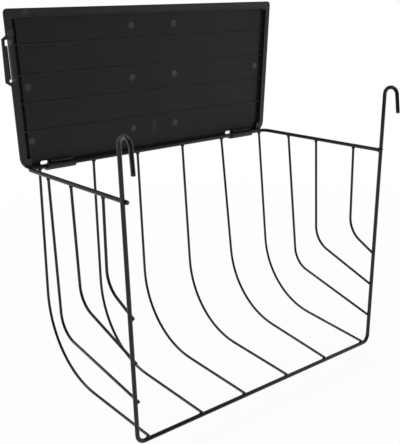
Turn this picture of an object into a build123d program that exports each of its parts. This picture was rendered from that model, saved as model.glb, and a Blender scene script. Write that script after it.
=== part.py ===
from build123d import *
from math import cos, radians, sin, tan
import os

os.makedirs("parts", exist_ok=True)

# A hay rack for small pets: a welded wire basket that hangs from a cage by two hooks, and a plastic
# lid that snaps on to the basket's back wire and turns on it. The lid is stored open, standing up.
# X runs along the rack, Y from the open hook side back to the hinge wire, Z up.
# The origin is midway between the seats of the two hooks, where the rack hangs.

LEFT, RIGHT = -1, 1
SIDES = {"left": LEFT, "right": RIGHT}

# Wires
THICK_WIRE = 3.0
THIN_WIRE = 2.0
WELD_SINK = 0.2  # how far two wires press into each other where they are welded

# Basket, measured between wire centres
BAR_LENGTH = 240.0
RIM_HEIGHT = 162.5
RIM_DEPTH = 122.0
HINGE_WIRE_LENGTH = 239.0
LEG_SPLAY = 7.1  # each leg stands this much further out at the rim than at the bottom bar
BAR_BEND = 6.0
RIM_BEND = 5.5
ARM_OVERHANG = 1.5  # the rim's cut ends stand this far in front of the legs' centres
ARM_DROP = {LEFT: 0.0, RIGHT: 1.2}  # the right arm was welded to its leg a little lower

# Hooks: the left one was bent a little lower than the right one
HOOK_HEIGHT = {LEFT: 204.0, RIGHT: 211.0}  # bottom bar up to the top of the bend
HOOK_DROP = {LEFT: 22.5, RIGHT: 19.5}  # top of the bend down to the cut end
HOOK_BEND = 5.8
HOOK_FLARE = 6.5  # degrees that the free end leans away from the leg

# Main ribs, from the hinge wire down and forward to the bottom bar, each bent a little differently:
# its top's and its foot's place across the rack, and its corner's distance in from the hinge wire
# and up from the bottom bar
MAIN_RIBS = (
    (-110.0, -111.5, 5.0, 14.5),
    (-63.5, -65.0, 6.5, 14.0),
    (-22.0, -23.5, 9.5, 14.5),
    (24.0, 21.0, 13.0, 14.5),
    (67.5, 65.0, 19.0, 20.0),
    (113.0, 111.5, 15.0, 17.0),
)
MAIN_RIB_BEND = 62.0
RIB_OVERHANG = 1.0  # a rib's cut end stands this far past the wire it crosses

# Side ribs, from an arm of the rim down and forward to the leg: the top's distance behind the leg,
# the corner's distance in from the top and up from the foot, and the foot's height
SIDE_RIBS = {
    LEFT: ((93.5, 8.5, 21.5, 29.0), (64.0, 6.0, 24.5, 56.0), (25.5, 0.5, 15.5, 86.5)),
    RIGHT: ((93.5, 13.0, 25.5, 23.5), (63.0, 4.0, 23.5, 50.0), (24.5, 0.5, 13.5, 76.5)),
}
SIDE_RIB_BEND = 20.0

# Lid, measured in its own plane: across from its middle, and up from the hinge wire's centre
LID_SHIFT = -1.5  # the lid has slid a little to the left along the wire
LID_HINGE_EDGE = -1.4
LID_FREE_EDGE = 111.6
LID_HINGE_WIDTH = 243.0
LID_FREE_WIDTH = 258.2
LID_HINGE_CORNER = 10.0
LID_FREE_CORNER = 3.0
LID_GAP = 0.4  # from the hinge wire to the underside's plane
FLANGE_THICKNESS = 2.0
FLANGE_ROUND = 0.7
FLANGE_WIDTH = 5.0  # from a side edge in to the groove
GROOVE_WIDTH = 3.8
GROOVE_DEPTH = 4.5
GROOVE_LOW, GROOVE_HIGH = 6.8, 104.5
WALL = 1.7
PANEL_LOW, PANEL_HIGH = 1.2, 105.6
PANEL_DEPTH = 2.2
PLANK_JOINTS = (26.0, 46.0, 66.0, 87.0)
JOINT_WIDTH = 1.4
RIDGE_HEIGHT = 0.3  # of the ridge underneath each joint between planks
JOINT_DEPTH = 0.6  # of the V-groove on top
BRIDGE_WIDTH = 0.9
BRIDGE_TOP = 1.4  # depth of the top of the small webs across the grooves
BACK_ROUND = 0.6

# Latch tongue on the lid's left edge, with a springy strip outside a slit
TONGUE_HEIGHTS = (58.8, 61.5, 91.3, 93.8)
TONGUE_REACH = (4.1, 3.5)  # out from the edge at its low and high corner
SLIT_WIDTH = 1.7
UPPER_HOLE = (-126.8, 88.8)
UPPER_HOLE_SIZE = (5.0, 4.2)
LOWER_HOLE = (-125.0, 62.8)
LOWER_HOLE_SIZE = (4.5, 2.1)
TONGUE_HOLE_ROUND = 0.9

# Hinge clips, channels round the wire: each bar's left end, with a hole through the lid beside it
CLIP_PLACES = (-102.6, 80.1)
CLIP_LENGTH = 23.6
CLIP_PLAY = 0.06
CLIP_WALL = 1.4
CLIP_LIP_HEIGHT = 1.0  # of the lip in front of the wire, above the wire's centre
CLIP_HOLE_START = -2.5  # from the bar's left end
CLIP_HOLE_LENGTH = 6.6
CLIP_HOLE_LOW, CLIP_HOLE_HIGH = 0.5, 3.3
CLIP_HOLE_ROUND = 1.2
JAW_START = 5.5  # from the bar's left end, clear of the hole
JAW_LOW, JAW_HIGH = 2.0, 4.2
JAW_DEPTH = 1.0

# Places worked out from the dimensions above
thick_radius = THICK_WIRE / 2
thin_radius = THIN_WIRE / 2
leg_y = HOOK_BEND
hinge_y = leg_y + RIM_DEPTH
bar_z = thick_radius - (HOOK_HEIGHT[LEFT] + HOOK_HEIGHT[RIGHT]) / 2
rim_z = bar_z + RIM_HEIGHT
rib_rest = thick_radius + thin_radius - WELD_SINK
arm_front = BAR_LENGTH / 2 + LEG_SPLAY - THICK_WIRE + WELD_SINK


def on_leg(side, height):
    """A point on a leg's centre line, at a height above the bottom bar."""
    return Vector(side * (BAR_LENGTH / 2 + LEG_SPLAY * height / RIM_HEIGHT), leg_y, bar_z + height)


def on_arm(side, behind):
    """A point on an arm of the rim, at a distance behind the legs."""
    inward = (arm_front - HINGE_WIRE_LENGTH / 2) * behind / RIM_DEPTH
    drop = ARM_DROP[side] * (1 - behind / RIM_DEPTH)
    return Vector(side * (arm_front - inward), leg_y + behind, rim_z - drop)


def on_hook(side, turn):
    """A point on a hook's bend, which leaves the leg at 0 degrees and is highest at 90."""
    stem_top = on_leg(side, HOOK_HEIGHT[side] - HOOK_BEND)
    lean = Vector(side * LEG_SPLAY, 0, RIM_HEIGHT).normalized()
    outward = Vector(0, HOOK_BEND * (cos(radians(turn)) - 1), 0)
    return stem_top + outward + lean * HOOK_BEND * sin(radians(turn))


def hook_tip(side):
    """The cut end of a hook, straight on from where its bend ends."""
    turn = 180 - HOOK_FLARE
    bend_end = on_hook(side, turn)
    drop = bend_end.Z - (bar_z + HOOK_HEIGHT[side] - HOOK_DROP[side])
    return bend_end - Vector(0, drop * tan(radians(HOOK_FLARE)), drop)


# Hanging frame: one wire for both hooks, both legs and the bottom bar
with BuildPart() as hanging_frame:
    with BuildLine() as frame_run:
        Line(hook_tip(LEFT), on_hook(LEFT, 180 - HOOK_FLARE))
        ThreePointArc(on_hook(LEFT, 180 - HOOK_FLARE), on_hook(LEFT, 90), on_hook(LEFT, 0))
        FilletPolyline(
            on_hook(LEFT, 0), on_leg(LEFT, 0), on_leg(RIGHT, 0), on_hook(RIGHT, 0), radius=BAR_BEND
        )
        ThreePointArc(on_hook(RIGHT, 0), on_hook(RIGHT, 90), on_hook(RIGHT, 180 - HOOK_FLARE))
        Line(on_hook(RIGHT, 180 - HOOK_FLARE), hook_tip(RIGHT))
    with BuildSketch(Plane(frame_run.line ^ 0)):
        Circle(thick_radius)
    sweep()
hanging_frame.part.label = "hanging_frame"
export_step(hanging_frame.part, "parts/hanging_frame.step")

# Rim: one wire bent to a U, its arms welded to the inner faces of the legs
with BuildPart() as rim:
    with BuildLine() as rim_run:
        FilletPolyline(
            on_arm(LEFT, -ARM_OVERHANG),
            on_arm(LEFT, RIM_DEPTH),
            on_arm(RIGHT, RIM_DEPTH),
            on_arm(RIGHT, -ARM_OVERHANG),
            radius=RIM_BEND,
        )
    with BuildSketch(Plane(rim_run.line ^ 0)):
        Circle(thick_radius)
    sweep()
    add(hanging_frame.part, mode=Mode.SUBTRACT)
rim.part.label = "rim"
export_step(rim.part, "parts/rim.step")


def export_rib(name, top, corner, foot, bend):
    """A thin wire from under the rim to the hanging frame, coped to both where it is welded."""
    with BuildPart() as rib:
        with BuildLine() as rib_run:
            FilletPolyline(top, corner, foot, radius=bend)
        with BuildSketch(Plane(rib_run.line ^ 0)):
            Circle(thin_radius)
        sweep()
        add(rim.part, mode=Mode.SUBTRACT)
        add(hanging_frame.part, mode=Mode.SUBTRACT)
    rib.part.label = name
    export_step(rib.part, f"parts/{name}.step")


# Main ribs: from the hinge wire, round the bend, to the top of the bottom bar
for number, (top_x, foot_x, corner_in, corner_up) in enumerate(MAIN_RIBS, start=1):
    corner_x = top_x + (foot_x - top_x) * corner_in / RIM_DEPTH
    export_rib(
        f"main_rib_{number}",
        Vector(top_x, hinge_y, rim_z),
        Vector(corner_x, hinge_y - corner_in, bar_z + corner_up),
        Vector(foot_x, leg_y - RIB_OVERHANG, bar_z + rib_rest),
        MAIN_RIB_BEND,
    )

# Side ribs: three on each side, from the arm to the inner face of the leg
for side_name, side in SIDES.items():
    for number, (behind, corner_in, corner_up, foot_height) in enumerate(SIDE_RIBS[side], start=1):
        top = on_arm(side, behind)
        foot = on_leg(side, foot_height) - Vector(side * rib_rest, RIB_OVERHANG, 0)
        corner_x = (top.X + foot.X) / 2
        export_rib(
            f"side_rib_{side_name}_{number}",
            top,
            Vector(corner_x, top.Y - corner_in, foot.Z + corner_up),
            foot,
            SIDE_RIB_BEND,
        )

# Lid: one moulding. Its underside faces forward here, and depths go back from that face's plane
under_in = thick_radius + LID_GAP
under_y = hinge_y + under_in
underside = Plane(origin=(LID_SHIFT, under_y, rim_z), x_dir=(1, 0, 0), z_dir=(0, -1, 0))


def half_width(height):
    """Half the lid's width at a height above the hinge wire: its sides spread evenly."""
    share = (height - LID_HINGE_EDGE) / (LID_FREE_EDGE - LID_HINGE_EDGE)
    return (LID_HINGE_WIDTH + (LID_FREE_WIDTH - LID_HINGE_WIDTH) * share) / 2


def tapered(inset, low, high):
    """Corners of a band that follows the lid's tapered sides, drawn in from them by an inset."""
    low_half = half_width(low) - inset
    high_half = half_width(high) - inset
    return ((-low_half, low), (low_half, low), (high_half, high), (-high_half, high))


def beside(side, outer, inner, low, high):
    """Corners of a strip along one side of the lid, between two insets from its edge."""
    return (
        (side * (half_width(low) - outer), low),
        (side * (half_width(high) - outer), high),
        (side * (half_width(high) - inner), high),
        (side * (half_width(low) - inner), low),
    )


panel_inset = FLANGE_WIDTH + GROOVE_WIDTH
groove_back = GROOVE_DEPTH + WALL
panel_back = PANEL_DEPTH + WALL
tongue_low, tongue_start, tongue_end, tongue_high = TONGUE_HEIGHTS
reach_low, reach_high = TONGUE_REACH
clip_bore = thick_radius + CLIP_PLAY
clip_round = clip_bore + CLIP_WALL
flange_back = under_in + FLANGE_THICKNESS

with BuildPart() as lid:
    # Flange all round, its corners rounded
    with BuildSketch(underside):
        with BuildLine():
            FilletPolyline(
                *tapered(0, LID_HINGE_EDGE, LID_FREE_EDGE),
                radius=(LID_HINGE_CORNER, LID_HINGE_CORNER, LID_FREE_CORNER, LID_FREE_CORNER),
                close=True,
            )
        make_face()
        Polygon(
            (-half_width(tongue_low) + 1, tongue_low),
            (-half_width(tongue_high) + 1, tongue_high),
            (-half_width(tongue_high), tongue_high),
            (-half_width(tongue_end) - reach_high, tongue_end),
            (-half_width(tongue_start) - reach_low, tongue_start),
            (-half_width(tongue_low), tongue_low),
            align=None,
        )
    extrude(amount=-FLANGE_THICKNESS)
    fillet(lid.edges().filter_by(Axis.Y, reverse=True), radius=FLANGE_ROUND)

    # Top of the panel, and a bead over each groove that closes off the planks' ends
    with BuildSketch(underside):
        Polygon(*tapered(panel_inset - WALL, PANEL_LOW - WALL, PANEL_HIGH + WALL), align=None)
    extrude(amount=-panel_back)
    with BuildSketch(underside):
        for side in SIDES.values():
            bead = beside(
                side,
                FLANGE_WIDTH - WALL,
                panel_inset + WALL,
                GROOVE_LOW - WALL,
                GROOVE_HIGH + WALL,
            )
            Polygon(*bead, align=None)
    extrude(amount=-groove_back)
    back_rims = lid.faces().filter_by(Axis.Y).group_by(Axis.Y)[-1].edges()
    fillet(back_rims, radius=BACK_ROUND)

    # Hollows of the panel and of the two grooves
    with BuildSketch(underside):
        Polygon(*tapered(panel_inset, PANEL_LOW, PANEL_HIGH), align=None)
    extrude(amount=-PANEL_DEPTH, mode=Mode.SUBTRACT)
    with BuildSketch(underside):
        for side in SIDES.values():
            Polygon(*beside(side, FLANGE_WIDTH, panel_inset, GROOVE_LOW, GROOVE_HIGH), align=None)
    extrude(amount=-GROOVE_DEPTH, mode=Mode.SUBTRACT)

    # Joints between the planks: a ridge underneath, a V-groove on top, a web across each groove
    for height in PLANK_JOINTS:
        joint_half = half_width(height) - panel_inset
        joint_place = Plane(
            origin=(LID_SHIFT - joint_half, under_y, rim_z + height), x_dir=(0, 1, 0), z_dir=(1, 0, 0)
        )
        with BuildSketch(joint_place):
            Polygon(
                (PANEL_DEPTH, -JOINT_WIDTH / 2),
                (PANEL_DEPTH - RIDGE_HEIGHT, 0),
                (PANEL_DEPTH, JOINT_WIDTH / 2),
                align=None,
            )
        extrude(amount=2 * joint_half)
        with BuildSketch(joint_place):
            Polygon(
                (panel_back, -JOINT_WIDTH / 2),
                (panel_back - JOINT_DEPTH, 0),
                (panel_back, JOINT_WIDTH / 2),
                align=None,
            )
        extrude(amount=2 * joint_half, mode=Mode.SUBTRACT)
        with BuildSketch(underside.offset(-BRIDGE_TOP)):
            for side in SIDES.values():
                with Locations((side * (joint_half + GROOVE_WIDTH / 2), height)):
                    Rectangle(GROOVE_WIDTH + 1, BRIDGE_WIDTH)
        extrude(amount=BRIDGE_TOP - GROOVE_DEPTH)

    # Latch tongue: two holes joined by a slit
    with BuildSketch(underside):
        with BuildLine():
            Line(UPPER_HOLE, LOWER_HOLE)
        trace(line_width=SLIT_WIDTH)
        with Locations(UPPER_HOLE):
            RectangleRounded(*UPPER_HOLE_SIZE, radius=TONGUE_HOLE_ROUND)
        with Locations(LOWER_HOLE):
            RectangleRounded(*LOWER_HOLE_SIZE, radius=TONGUE_HOLE_ROUND)
    extrude(amount=-FLANGE_THICKNESS, mode=Mode.SUBTRACT)

    # Hinge clips: each a channel bar open at the top, a guide jaw above it and a hole beside it
    for place in CLIP_PLACES:
        clip_end = Plane(
            origin=(LID_SHIFT + place, hinge_y, rim_z), x_dir=(0, 1, 0), z_dir=(1, 0, 0)
        )
        with BuildSketch(clip_end):
            Circle(clip_round)
            with Locations((0, CLIP_LIP_HEIGHT)):
                Rectangle(
                    2 * clip_round,
                    clip_round,
                    align=(Align.CENTER, Align.MIN),
                    mode=Mode.SUBTRACT,
                )
            Rectangle(under_in, clip_round, align=(Align.MIN, Align.MIN), mode=Mode.SUBTRACT)
            Rectangle(flange_back, clip_round, align=(Align.MIN, Align.MAX))
            Circle(clip_bore, mode=Mode.SUBTRACT)
        extrude(amount=CLIP_LENGTH)
        with BuildSketch(clip_end.offset(JAW_START)):
            Polygon(
                (under_in + PANEL_DEPTH, JAW_LOW),
                (under_in - JAW_DEPTH, JAW_LOW),
                (under_in - JAW_DEPTH, (JAW_LOW + JAW_HIGH) / 2),
                (under_in + PANEL_DEPTH, JAW_HIGH),
                align=None,
            )
        extrude(amount=CLIP_LENGTH - JAW_START)
        with BuildSketch(underside):
            hole_x = place + CLIP_HOLE_START + CLIP_HOLE_LENGTH / 2
            hole_height = CLIP_HOLE_HIGH - CLIP_HOLE_LOW
            with Locations((hole_x, CLIP_HOLE_LOW + hole_height / 2)):
                RectangleRounded(CLIP_HOLE_LENGTH, hole_height, radius=CLIP_HOLE_ROUND)
        extrude(amount=-panel_back, mode=Mode.SUBTRACT)
lid.part.label = "lid"
export_step(lid.part, "parts/lid.step")
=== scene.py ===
from math import pi, radians, tan

import bpy
import numpy as np
from mathutils import Matrix, Vector


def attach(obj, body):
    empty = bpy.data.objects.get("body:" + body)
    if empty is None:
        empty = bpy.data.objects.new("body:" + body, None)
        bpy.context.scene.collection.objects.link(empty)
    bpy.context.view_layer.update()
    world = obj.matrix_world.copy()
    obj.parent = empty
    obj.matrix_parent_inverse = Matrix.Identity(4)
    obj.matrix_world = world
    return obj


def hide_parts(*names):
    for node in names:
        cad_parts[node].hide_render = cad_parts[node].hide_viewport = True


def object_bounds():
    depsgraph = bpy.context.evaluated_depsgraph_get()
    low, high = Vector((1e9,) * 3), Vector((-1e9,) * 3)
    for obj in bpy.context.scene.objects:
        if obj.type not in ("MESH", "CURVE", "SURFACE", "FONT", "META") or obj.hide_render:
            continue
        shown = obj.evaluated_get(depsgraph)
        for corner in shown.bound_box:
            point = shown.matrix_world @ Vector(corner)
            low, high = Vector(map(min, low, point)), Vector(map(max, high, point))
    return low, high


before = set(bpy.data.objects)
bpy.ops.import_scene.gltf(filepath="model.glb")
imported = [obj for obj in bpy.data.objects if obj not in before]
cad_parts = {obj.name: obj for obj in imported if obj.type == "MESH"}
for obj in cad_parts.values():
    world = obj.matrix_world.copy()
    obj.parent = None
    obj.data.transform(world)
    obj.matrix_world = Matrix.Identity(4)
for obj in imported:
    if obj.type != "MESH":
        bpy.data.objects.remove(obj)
cad_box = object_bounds()

# Hanging frame: one thick steel wire bent cold into both hooks, both legs and the bottom bar, then
# coated with black powder. Its cut ends are a little rounded by the coating. Lengths are in
# millimetres here and in every section, and become metres in the meshes.
LEFT, RIGHT = -1, 1
THICK_WIRE = 3.0
BAR_LENGTH, LEG_SPLAY, RIM_HEIGHT = 240.0, 7.1, 162.5
HOOK_HEIGHT = {LEFT: 204.0, RIGHT: 211.0}
HOOK_DROP = {LEFT: 22.5, RIGHT: 19.5}
HOOK_BEND, HOOK_FLARE, BAR_BEND = 5.8, 6.5, 6.0
LEG_Y, BAR_Z = 5.8, -206.0
STATION, BEND_STEP = 1.6, 0.09
WIRE_SIDES = 20


def unit(vector):
    """Vectors scaled to a length of one."""
    return vector / np.linalg.norm(vector, axis=-1, keepdims=True)


def bent_run(corners, bends):
    """Stations along a bent wire: straight runs, and an arc of the bend's radius at each corner.

    A bend through an angle f takes R tan(f/2) off both runs, and its points are
    start + R sin(t) u + R (1 - cos(t)) w for t from 0 to f, u along the run and w square to it.
    """
    corners = np.array(corners, float)
    pieces = []
    place = corners[0]
    for before, corner, after, bend in zip(corners, corners[1:], corners[2:], bends):
        along, onward = unit(corner - before), unit(after - corner)
        turn = np.arccos(along @ onward)
        start = corner - along * bend * tan(turn / 2)
        square = unit(onward - (onward @ along) * along)
        pieces.append(np.linspace(place, start, 2 + int(np.linalg.norm(start - place) / STATION)))
        angle = np.linspace(0, turn, 3 + int(turn / BEND_STEP))[1:-1, None]
        pieces.append(start + bend * (np.sin(angle) * along + (1 - np.cos(angle)) * square))
        place = corner + onward * bend * tan(turn / 2)
    left_over = np.linalg.norm(corners[-1] - place)
    pieces.append(np.linspace(place, corners[-1], 2 + int(left_over / STATION)))
    return np.concatenate(pieces)


def round_wire(points, radius, swellings=()):
    """A round wire: points + r(s) (cos(v) n + sin(v) b), with n and b square to the run.

    r(s) is the wire's radius, rounded off over its last third of a millimetre at both cut ends,
    and swollen by 1 + gain exp(-((s - place) / spread)^2) at each weld.
    """
    heading = unit(np.gradient(points, axis=0))
    tip = np.array([0.0, 0.04, 0.12, 0.24, 0.38])
    rounding = np.array([0.55, 0.74, 0.88, 0.97, 1.0])
    first = points[0] + heading[0] * tip[:, None]
    last = points[-1] - heading[-1] * tip[::-1, None]
    run = np.concatenate((first, points[1:-1], last))
    heading = unit(np.gradient(run, axis=0))
    length = np.concatenate(([0], np.cumsum(np.linalg.norm(np.diff(run, axis=0), axis=1))))
    size = radius * np.concatenate((rounding, np.ones(len(points) - 2), rounding[::-1]))
    for place, spread, gain in swellings:
        middle = place if place >= 0 else length[-1] + place
        size = size * (1 + gain * np.exp(-(((length - middle) / spread) ** 2)))
    reference = unit(np.array([1.0, 1.0, 1.0]))
    across = unit(np.cross(heading, reference))
    upward = np.cross(heading, across)
    turn = np.linspace(0, 2 * pi, WIRE_SIDES, endpoint=False)[None, :, None]
    ring = np.cos(turn) * across[:, None] + np.sin(turn) * upward[:, None]
    return run[:, None] + ring * size[:, None, None]


def tube_faces(stations, sides, start=0):
    """Quads of a tube whose points are numbered station by station, from a first number."""
    row = start + sides * np.arange(stations - 1)[:, None]
    here = np.arange(sides)[None, :]
    after = (here + 1) % sides
    quads = np.stack((row + here, row + after, row + sides + after, row + sides + here), axis=-1)
    return quads.reshape(-1, 4)


def make_piece(name, tubes, body, finish, sharp=35):
    """A mesh of closed tubes: each one's quads, and a fan of triangles over each of its ends."""
    points, quads, fans = [], [], []
    count = 0
    for tube in tubes:
        stations, sides = tube.shape[:2]
        ends = np.stack((tube[0].mean(axis=0), tube[-1].mean(axis=0)))
        points += [tube.reshape(-1, 3), ends]
        quads.append(tube_faces(stations, sides, count))
        here = np.arange(sides)
        after = (here + 1) % sides
        pole = count + stations * sides
        far = count + (stations - 1) * sides
        fans.append(np.stack((after + count, here + count, np.full(sides, pole)), axis=-1))
        fans.append(np.stack((here + far, after + far, np.full(sides, pole + 1)), axis=-1))
        count += stations * sides + 2
    mesh = bpy.data.meshes.new(name)
    faces = np.concatenate(quads).tolist() + np.concatenate(fans).tolist()
    mesh.from_pydata((np.concatenate(points) / 1000).tolist(), [], faces)
    mesh.polygons.foreach_set("use_smooth", np.ones(len(mesh.polygons), bool))
    mesh.set_sharp_from_angle(angle=radians(sharp))
    mesh.materials.append(finish)
    piece = bpy.data.objects.new(name, mesh)
    bpy.context.scene.collection.objects.link(piece)
    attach(piece, body)
    return piece


class Reading:
    """A value in a material. Sums on it add Math nodes, and node() adds any other node."""

    def __init__(self, tree, socket=None):
        self.tree = tree
        self.socket = socket

    def node(self, kind, settings=None, inputs=None, output=0):
        """A new node: its settings come first, then the value or the link of each socket."""
        made = self.tree.nodes.new(kind)
        for name, value in (settings or {}).items():
            setattr(made, name, value)
        for name, value in (inputs or {}).items():
            if isinstance(value, Reading):
                self.tree.links.new(value.socket, made.inputs[name])
            else:
                made.inputs[name].default_value = value
        return Reading(self.tree, made.outputs[output])

    def math(self, operation, first, second):
        return self.node("ShaderNodeMath", {"operation": operation}, {0: first, 1: second})

    def __add__(self, other):
        return self.math("ADD", self, other)

    def __radd__(self, other):
        return self.math("ADD", other, self)

    def __sub__(self, other):
        return self.math("SUBTRACT", self, other)

    def __rsub__(self, other):
        return self.math("SUBTRACT", other, self)

    def __mul__(self, other):
        return self.math("MULTIPLY", self, other)

    def __rmul__(self, other):
        return self.math("MULTIPLY", other, self)


def grain(reading, place, scale, detail=3.0, roughness=0.5):
    """Noise between 0 and 1, with so many of its lumps to a metre."""
    return reading.node(
        "ShaderNodeTexNoise",
        None,
        {"Vector": place, "Scale": scale, "Detail": detail, "Roughness": roughness},
    )


def new_finish(name):
    """An empty material, and a reading to build its nodes with."""
    finish = bpy.data.materials.new(name)
    finish.use_nodes = True
    finish.node_tree.nodes.clear()
    return finish, Reading(finish.node_tree)


def show(reading, shader, kind="ShaderNodeOutputMaterial"):
    """The end of a node tree, which shows a shader."""
    output = reading.tree.nodes.new(kind)
    reading.tree.links.new(shader.socket, output.inputs["Surface"])


def blend_colour(share, first, second):
    """A colour between two, by a share from 0 to 1. A colour is a link or one grey level."""
    start, end = (
        value if isinstance(value, Reading) else (value, value, value, 1)
        for value in (first, second)
    )
    return share.node("ShaderNodeMix", {"data_type": "RGBA"}, {0: share, 6: start, 7: end}, 2)


def ramp(value, low, high):
    """0 below low, 1 above high and even between; the other way round where low is above high."""
    return value.node(
        "ShaderNodeMapRange", None, {"Value": value, "From Min": low, "From Max": high}
    )


def powder_coat():
    """Glossy black powder coating: orange peel a millimetre or two across, and a little dust."""
    finish, reading = new_finish("black powder coat")
    place = reading.node("ShaderNodeTexCoord", None, None, 3)
    peel = grain(reading, place, 620, 2.0)
    runs = grain(reading, place, 210, 1.0)
    cloud = grain(reading, place, 90, 3.0)
    speck = ramp(grain(reading, place, 2600, 1.0), 0.68, 0.76)
    colour = blend_colour(cloud, 0.004, 0.009)
    colour = blend_colour(speck * 0.2, colour, 0.10)
    bump = reading.node(
        "ShaderNodeBump", None, {"Strength": 0.15, "Distance": 0.0002, "Height": peel + runs * 1.5}
    )
    shader = reading.node(
        "ShaderNodeBsdfPrincipled",
        None,
        {
            "Base Color": colour,
            "Roughness": 0.11 + cloud * 0.12 + speck * 0.2,
            "Specular IOR Level": 0.3,
            "Normal": bump,
        },
    )
    show(reading, shader)
    return finish


def on_leg(side, height):
    """A point on a leg's centre line, at a height above the bottom bar."""
    outward = BAR_LENGTH / 2 + LEG_SPLAY * height / RIM_HEIGHT
    return np.array([side * outward, LEG_Y, BAR_Z + height])


def on_hook(side, turn):
    """Points on a hook's bend, which leaves the leg at 0 degrees and is highest at 90."""
    turn = np.radians(turn)[:, None]
    stem_top = on_leg(side, HOOK_HEIGHT[side] - HOOK_BEND)
    lean = unit(np.array([side * LEG_SPLAY, 0, RIM_HEIGHT]))
    outward = HOOK_BEND * (np.cos(turn) - 1) * np.array([0.0, 1.0, 0.0])
    return stem_top + outward + lean * HOOK_BEND * np.sin(turn)


def hook_run(side):
    """A hook from its cut end, up and over its bend to the top of the leg."""
    bend = on_hook(side, np.linspace(180 - HOOK_FLARE, 0, 40))
    drop = bend[0, 2] - (BAR_Z + HOOK_HEIGHT[side] - HOOK_DROP[side])
    tip = bend[0] - np.array([0, drop * tan(radians(HOOK_FLARE)), drop])
    return np.concatenate((np.linspace(tip, bend[0], 12)[:-1], bend))


left_hook, right_hook = hook_run(LEFT), hook_run(RIGHT)
frame_points = bent_run(
    (left_hook[-1], on_leg(LEFT, 0), on_leg(RIGHT, 0), right_hook[-1]), (BAR_BEND, BAR_BEND)
)
frame_points = np.concatenate((left_hook[:-1], frame_points, right_hook[-2::-1]))
coat = powder_coat()
hanging = make_piece(
    "hanging_wire", [round_wire(frame_points, THICK_WIRE / 2)], "rack", coat
)
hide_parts("hanging_frame")

# Rim: one thick wire bent to a U, its arms resistance-welded to the inner faces of the legs. The
# lid turns on its back wire. Each weld has squeezed a small lump of steel out between the wires.
RIM_DEPTH, HINGE_WIRE_LENGTH, RIM_BEND = 122.0, 239.0, 5.5
ARM_OVERHANG, WELD_SINK = 1.5, 0.2
ARM_DROP = {LEFT: 0.0, RIGHT: 1.2}
HINGE_Y = LEG_Y + RIM_DEPTH
RIM_Z = BAR_Z + RIM_HEIGHT
ARM_FRONT = BAR_LENGTH / 2 + LEG_SPLAY - THICK_WIRE + WELD_SINK
LUMP_POLE, LUMP_RINGS, LUMP_SIDES = 84, 11, 16


def on_arm(side, behind):
    """A point on an arm of the rim, at a distance behind the legs."""
    inward = (ARM_FRONT - HINGE_WIRE_LENGTH / 2) * behind / RIM_DEPTH
    drop = ARM_DROP[side] * (1 - behind / RIM_DEPTH)
    return np.array([side * (ARM_FRONT - inward), LEG_Y + behind, RIM_Z - drop])


rim_points = bent_run(
    (
        on_arm(LEFT, -ARM_OVERHANG),
        on_arm(LEFT, RIM_DEPTH),
        on_arm(RIGHT, RIM_DEPTH),
        on_arm(RIGHT, -ARM_OVERHANG),
    ),
    (RIM_BEND, RIM_BEND),
)
rim = make_piece("rim_wire", [round_wire(rim_points, THICK_WIRE / 2)], "rack", coat)
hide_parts("rim")


def weld_lump(centre, sizes, turn):
    """A lump squeezed out of a weld: an ellipsoid with an uneven skin.

    Its points are centre + w (a cos(p) cos(t), b cos(p) sin(t), c sin(p)), for p from pole to
    pole and t all round, where w = 1 + 0.09 sin(3 t + turn) cos(p) + 0.07 sin(2 t - 3 p + turn).
    """
    p = np.radians(np.linspace(-LUMP_POLE, LUMP_POLE, LUMP_RINGS))[:, None]
    t = np.linspace(0, 2 * pi, LUMP_SIDES, endpoint=False)[None, :]
    wobble = 1 + 0.09 * np.sin(3 * t + turn) * np.cos(p) + 0.07 * np.sin(2 * t - 3 * p + turn)
    shape = (np.cos(p) * np.cos(t), np.cos(p) * np.sin(t), np.sin(p) + 0 * t)
    parts = zip(centre, sizes, shape)
    return np.stack([middle + wobble * size * part for middle, size, part in parts], -1)


ARM_LUMPS = ((0.9, 1.9, 1.6), (1.2, 1.5, 1.3), (0.8, 1.2, 1.7))
ARM_LUMP_OFFSETS = ((0.0, 0.4, 0.0), (-0.4, -1.6, 0.5), (0.1, 1.7, -0.7))
lumps = []
for side in (LEFT, RIGHT):
    joint = on_arm(side, 0) + np.array([side * THICK_WIRE / 2, 0, 0])
    for number, (sizes, offset) in enumerate(zip(ARM_LUMPS, ARM_LUMP_OFFSETS)):
        lumps.append(weld_lump(joint + np.array(offset) * (side, 1, 1), sizes, 2.1 * number + side))
make_piece("arm_welds", lumps, "rack", coat, 180)

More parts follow.
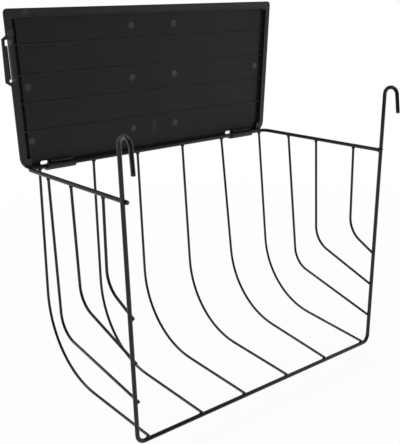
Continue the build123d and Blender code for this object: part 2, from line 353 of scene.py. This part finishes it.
# Main ribs: six thin wires, butt-welded under the hinge wire, each curved by hand a little
# differently, and laid across the bottom bar and welded there, their cut ends just past it.
THIN_WIRE = 2.0
RIB_REST = (THICK_WIRE + THIN_WIRE) / 2 - WELD_SINK
RIB_OVERHANG = 1.0
MAIN_RIBS = (
    (-110.0, -111.5, 5.0, 14.5),
    (-63.5, -65.0, 6.5, 14.0),
    (-22.0, -23.5, 9.5, 14.5),
    (24.0, 21.0, 13.0, 14.5),
    (67.5, 65.0, 19.0, 20.0),
    (113.0, 111.5, 15.0, 17.0),
)
MAIN_RIB_BEND = 62.0
BUTT_WELD = (1.7, 0.8, 0.5)
TOP_LUMP = (1.7, 1.05, 0.75)
FOOT_LUMP = (1.5, 1.35, 0.6)
rib_lumps = []
for number, (top_x, foot_x, corner_in, corner_up) in enumerate(MAIN_RIBS, start=1):
    corner_x = top_x + (foot_x - top_x) * corner_in / RIM_DEPTH
    run = bent_run(
        (
            (top_x, HINGE_Y, RIM_Z),
            (corner_x, HINGE_Y - corner_in, BAR_Z + corner_up),
            (foot_x, LEG_Y - RIB_OVERHANG, BAR_Z + RIB_REST),
        ),
        (MAIN_RIB_BEND,),
    )
    wire = round_wire(run, THIN_WIRE / 2, (BUTT_WELD,))
    rib = make_piece(f"main_rib_wire_{number}", [wire], "rack", coat)
    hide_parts(f"main_rib_{number}")
    under_rim = np.array([top_x, HINGE_Y - 0.5, RIM_Z - THICK_WIRE / 2])
    on_bar = np.array([foot_x, LEG_Y, BAR_Z + THICK_WIRE / 2])
    rib_lumps.append(weld_lump(under_rim, TOP_LUMP, 1.7 * number))
    rib_lumps.append(weld_lump(on_bar, FOOT_LUMP, 2.3 * number))
make_piece("rib_welds", rib_lumps, "rack", coat, 180)

# Side ribs: three thin wires on each side, butt-welded under the arm and welded to the inner face
# of the leg, their cut ends just past it.
SIDE_RIBS = {
    LEFT: ((93.5, 8.5, 21.5, 29.0), (64.0, 6.0, 24.5, 56.0), (25.5, 0.5, 15.5, 86.5)),
    RIGHT: ((93.5, 13.0, 25.5, 23.5), (63.0, 4.0, 23.5, 50.0), (24.5, 0.5, 13.5, 76.5)),
}
SIDE_RIB_BEND = 20.0
SIDE_TOP_LUMP = (1.05, 1.6, 0.7)
SIDE_FOOT_LUMP = (0.6, 1.3, 1.3)
side_lumps = []
for side_name, side in (("left", LEFT), ("right", RIGHT)):
    for number, (behind, corner_in, corner_up, foot_height) in enumerate(SIDE_RIBS[side], start=1):
        top = on_arm(side, behind)
        foot = on_leg(side, foot_height) - np.array([side * RIB_REST, RIB_OVERHANG, 0])
        corner = np.array([(top[0] + foot[0]) / 2, top[1] - corner_in, foot[2] + corner_up])
        run = bent_run((top, corner, foot), (SIDE_RIB_BEND,))
        wire = round_wire(run, THIN_WIRE / 2, (BUTT_WELD,))
        rib = make_piece(f"side_rib_wire_{side_name}_{number}", [wire], "rack", coat)
        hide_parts(f"side_rib_{side_name}_{number}")
        under_arm = top - np.array([0, 0, THICK_WIRE / 2])
        inside_leg = on_leg(side, foot_height) - np.array([side * THICK_WIRE / 2, 0, 0])
        side_lumps.append(weld_lump(under_arm, SIDE_TOP_LUMP, 1.3 * number + side))
        side_lumps.append(weld_lump(inside_leg, SIDE_FOOT_LUMP, 1.9 * number - side))
make_piece("side_rib_welds", side_lumps, "rack", coat, 180)


# Lid: one moulding in black plastic. Its underside, which faces forward while the lid stands open,
# is satin and darkest on the panel's face. Its colour is painted paler on the flange as a painted
# sheen and paler in the recesses as painted light on their walls. It is painted lighter towards the
# top and in a faint band, both as painted reflection. It snaps on to the hinge wire.
LID_SHIFT = -1.5
UNDER_Y = HINGE_Y + THICK_WIRE / 2 + 0.4
PANEL_Y = UNDER_Y + 2.2
PANEL_TOP = 105.6
# Greys of the panel, of the flange painted paler as a painted sheen, and of the recesses painted paler
# still as painted light on their walls.
PANEL_GREY, FLANGE_SHEEN_GREY, RECESS_LIT_GREY = 0.0021, 0.0118, 0.021
# Where a faint narrow band on the panel is painted paler: a painted reflection.
REFLECTION_BAND_X = (-0.0033, -0.0019, -0.0008, 0.0006)
REFLECTION_BAND_Z = (-0.034, -0.029, -0.023, -0.018)


def window(value, edges):
    """0 outside the first and last edge, 1 between the middle two, and even on both slopes."""
    return ramp(value, edges[0], edges[1]) * ramp(value, edges[3], edges[2])


def satin_plastic():
    """Satin black plastic: a fine mould texture, faint clouds and flow lines, a little dust, and
    painted light: a paler flange as a painted sheen, paler recesses as painted light on their walls,
    and a lighter top and a faint pale band as painted reflections.
    """
    finish, reading = new_finish("satin black plastic")
    place = reading.node("ShaderNodeTexCoord", None, None, 3)
    x = reading.node("ShaderNodeSeparateXYZ", None, {0: place}, 0)
    y = reading.node("ShaderNodeSeparateXYZ", None, {0: place}, 1)
    z = reading.node("ShaderNodeSeparateXYZ", None, {0: place}, 2)
    spark = grain(reading, place, 2400, 2.0)
    cloud = grain(reading, place, 30, 4.0)
    stretched = reading.node("ShaderNodeMapping", None, {0: place, 3: (14, 60, 160)})
    flow = grain(reading, stretched, 1.0, 3.0)
    speck = ramp(grain(reading, place, 1500, 1.0), 0.74, 0.78)
    flange = ramp(y, (PANEL_Y - 0.4) / 1000, (UNDER_Y + 0.3) / 1000)
    # Mask of the recesses behind the panel's face, whose colour is painted paler: painted light on
    # their walls.
    recess_light = ramp(y, (PANEL_Y + 0.1) / 1000, (PANEL_Y + 0.6) / 1000)
    # The panel is painted lighter towards the top: a painted reflection.
    painted_top_light = ramp(z, -0.05, 0.07)
    painted_reflection_band = window(x, REFLECTION_BAND_X) * window(z, REFLECTION_BAND_Z)
    level = 0.72 + cloud * 0.3 + flow * 0.3 + painted_top_light * 0.15
    shade = reading.node(
        "ShaderNodeVectorMath", {"operation": "SCALE"}, {0: (PANEL_GREY,) * 3, "Scale": level}
    )
    # The flange is painted paler than the panel: a painted sheen.
    colour = blend_colour(flange, shade, FLANGE_SHEEN_GREY)
    # The recesses are painted paler: painted light on their walls.
    colour = blend_colour(recess_light, colour, RECESS_LIT_GREY)
    # The band is painted paler: a painted reflection.
    colour = blend_colour(painted_reflection_band * 0.3, colour, 0.05)
    colour = blend_colour(speck * 0.3, colour, 0.10)
    bump = reading.node(
        "ShaderNodeBump", None, {"Strength": 0.45, "Distance": 0.0001, "Height": spark + flow * 0.6}
    )
    rough = 0.46 + cloud * 0.12 - flange * 0.12
    shader = reading.node(
        "ShaderNodeBsdfPrincipled",
        None,
        {"Base Color": colour, "Roughness": rough, "Specular IOR Level": 0.3, "Normal": bump},
    )
    show(reading, shader)
    return finish


plastic = satin_plastic()
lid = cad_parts["lid"]
lid.data.materials.clear()
lid.data.materials.append(plastic)

# Ejector marks: the round prints of the pins that pushed the lid out of its mould, each a shallow
# disc with a fine raised edge, a little smoother than the plastic round it.
MARK_RADIUS = 2.7
PANEL_MARKS = [(x, height) for x in (-22.0, 20.0) for height in (96.5, 57.0, 17.5)]
PANEL_MARKS += [(-113.5, 57.0), (-112.5, 18.5), (111.0, 57.0)]
FLANGE_MARKS = ((-113.4, 108.2), (-126.3, 95.0))


def ejector_mark(x, height, face_y, radius=MARK_RADIUS):
    """A disc turned about an axis along Y: at r from the axis it stands h(r) out of the face.

    h is 0.05 in the middle, 0.11 at nine tenths of the radius, and falls to -0.05 at its edge.
    """
    share = np.array([1.0, 0.97, 0.9, 0.82, 0.5, 0.15])
    stand = np.array([-0.05, 0.06, 0.11, 0.05, 0.05, 0.05])
    t = np.linspace(0, 2 * pi, 28, endpoint=False)[None, :]
    ring = radius * share[:, None]
    across = x + ring * np.cos(t)
    outward = face_y - stand[:, None] + 0 * t
    return np.stack((across, outward, RIM_Z + height + ring * np.sin(t)), -1)


def polished_plastic():
    """The same plastic where a steel pin has pressed it smooth; its colour is painted paler than the
    panel's, a painted sheen.
    """
    finish, reading = new_finish("pressed black plastic")
    place = reading.node("ShaderNodeTexCoord", None, None, 3)
    cloud = grain(reading, place, 260, 3.0)
    bump = reading.node(
        "ShaderNodeBump", None, {"Strength": 0.3, "Distance": 0.0001, "Height": cloud}
    )
    shader = reading.node(
        "ShaderNodeBsdfPrincipled",
        None,
        {
            # Painted paler than the panel round it: a painted sheen.
            "Base Color": blend_colour(cloud, 0.009, 0.017),
            "Roughness": 0.32 + cloud * 0.15,
            "Normal": bump,
        },
    )
    show(reading, shader)
    return finish


marks = [ejector_mark(x, height, PANEL_Y) for x, height in PANEL_MARKS]
marks += [ejector_mark(x, height, UNDER_Y) for x, height in FLANGE_MARKS]
make_piece("ejector_marks", marks, "lid", polished_plastic())

# Panel lip: the flange's inner edge stands up in a fine rounded bead along the top of the panel,
# moulded in one with the lid.
LIP_ENDS = (-112.0, 112.0)
LIP_RADIUS, LIP_STAND = 0.55, 0.05
LIP_HEIGHT = PANEL_TOP + 0.5
lip_x = np.linspace(LID_SHIFT + LIP_ENDS[0], LID_SHIFT + LIP_ENDS[1], 160)
lip_wave = 0.06 * np.sin(lip_x / 7.0) + 0.04 * np.sin(lip_x / 2.3)
lip_z = np.full_like(lip_x, RIM_Z + LIP_HEIGHT)
lip_line = np.stack((lip_x, UNDER_Y - LIP_STAND + lip_wave, lip_z), -1)
make_piece("panel_lip", [round_wire(lip_line, LIP_RADIUS)], "lid", plastic)

# Studio: a plain pale floor a little below the hanging rack, a white surround that is darker on the
# camera's side, plain soft lamps to the left, to the right and above, and the camera.
FLOOR_DROP = 0.02
FLOOR_RADIUS = 3.0
WHITE_SHARE = 0.9
FADE_START, FADE_END = 0.35, 0.9
floor_angle = np.linspace(0, 2 * pi, 64, endpoint=False)
floor_points = FLOOR_RADIUS * np.stack((np.cos(floor_angle), np.sin(floor_angle), 0 * floor_angle), -1)
floor_points[:, 2] = cad_box[0].z - FLOOR_DROP
floor_mesh = bpy.data.meshes.new("floor")
floor_mesh.from_pydata(floor_points.tolist(), [], [list(range(len(floor_points)))])
floor = bpy.data.objects.new("floor", floor_mesh)
bpy.context.scene.collection.objects.link(floor)


def seen_directly(reading):
    """1 for a ray that shows the background itself: from the camera, a reflection or glass."""
    camera = reading.node("ShaderNodeLightPath", None, None, "Is Camera Ray")
    glossy = reading.node("ShaderNodeLightPath", None, None, "Is Glossy Ray")
    through = reading.node("ShaderNodeLightPath", None, None, "Is Transmission Ray")
    return camera, glossy, through


floor_finish, reading = new_finish("pale floor")
camera_ray, glossy_ray, through_ray = seen_directly(reading)
matt = reading.node("ShaderNodeBsdfDiffuse", None, {"Color": (1, 1, 1, 1)})
white = reading.node("ShaderNodeEmission", None, {"Color": (1, 1, 1, 1), "Strength": 1.0})
floor_place = reading.node("ShaderNodeTexCoord", None, None, 3)
away = reading.node("ShaderNodeVectorMath", {"operation": "LENGTH"}, {0: floor_place}, 1)
share = WHITE_SHARE + ramp(away, FADE_START, FADE_END) * (1 - WHITE_SHARE)
shown = (camera_ray + glossy_ray + through_ray) * share
show(reading, reading.node("ShaderNodeMixShader", None, {0: shown, 1: matt, 2: white}))
floor_mesh.materials.append(floor_finish)

FILL = 0.6
DARK_SIDE = 0.06
DARK_TO, WHITE_FROM = -0.15, 0.55
AHEAD = (0.6546, 0.7182, -0.2362)
world = bpy.data.worlds.new("studio")
bpy.context.scene.world = world
world.use_nodes = True
world.node_tree.nodes.clear()
reading = Reading(world.node_tree)
camera_ray, glossy_ray, through_ray = seen_directly(reading)
direction = reading.node("ShaderNodeTexCoord", None, None, 0)
beyond = reading.node(
    "ShaderNodeVectorMath", {"operation": "DOT_PRODUCT"}, {0: direction, 1: AHEAD}, 1
)
mirrored = DARK_SIDE + ramp(beyond, DARK_TO, WHITE_FROM) * (1 - DARK_SIDE)
strength = camera_ray + through_ray + glossy_ray * mirrored
strength = strength + FILL * (1 - camera_ray - glossy_ray - through_ray)
background = reading.node(
    "ShaderNodeBackground", None, {"Color": (1, 1, 1, 1), "Strength": strength}
)
show(reading, background, "ShaderNodeOutputWorld")


def soft_lamp(name, place, width, height, power):
    """A soft box of a width and height that faces the middle of the rack."""
    lamp = bpy.data.lights.new(name, "AREA")
    lamp.shape = "RECTANGLE"
    lamp.size = width
    lamp.size_y = height
    lamp.energy = power
    box = bpy.data.objects.new(name, lamp)
    bpy.context.scene.collection.objects.link(box)
    box.location = place
    box.rotation_euler = (RACK_MIDDLE - Vector(place)).to_track_quat("-Z", "Y").to_euler()


RACK_MIDDLE = Vector((0, 0.05, -0.07))
soft_lamp("left_box", (-0.75, 0.55, 0.15), 0.14, 0.9, 2.4)
soft_lamp("right_box", (0.78, -0.62, 0.15), 0.14, 0.9, 0.8)
soft_lamp("top_box", (-0.15, -0.05, 1.1), 0.8, 0.8, 3.6)

CAMERA_PLACE = (-0.42261, -0.39787, 0.08733)
CAMERA_UP = (0.1606, 0.1731, 0.9717)
camera_data = bpy.data.cameras.new("camera")
camera_data.lens = 77.175
camera_data.sensor_width = 36
camera_data.sensor_fit = "HORIZONTAL"
camera_data.shift_x = -0.0293
camera_data.shift_y = -0.0874
camera_data.clip_start = 0.01
camera = bpy.data.objects.new("camera", camera_data)
bpy.context.scene.collection.objects.link(camera)
ahead = Vector(AHEAD).normalized()
rightward = ahead.cross(Vector(CAMERA_UP)).normalized()
turned = Matrix((rightward, rightward.cross(ahead), -ahead)).transposed()
camera.matrix_world = Matrix.Translation(CAMERA_PLACE) @ turned.to_4x4()
bpy.context.scene.camera = camera
bpy.context.scene.view_settings.view_transform = "Standard"
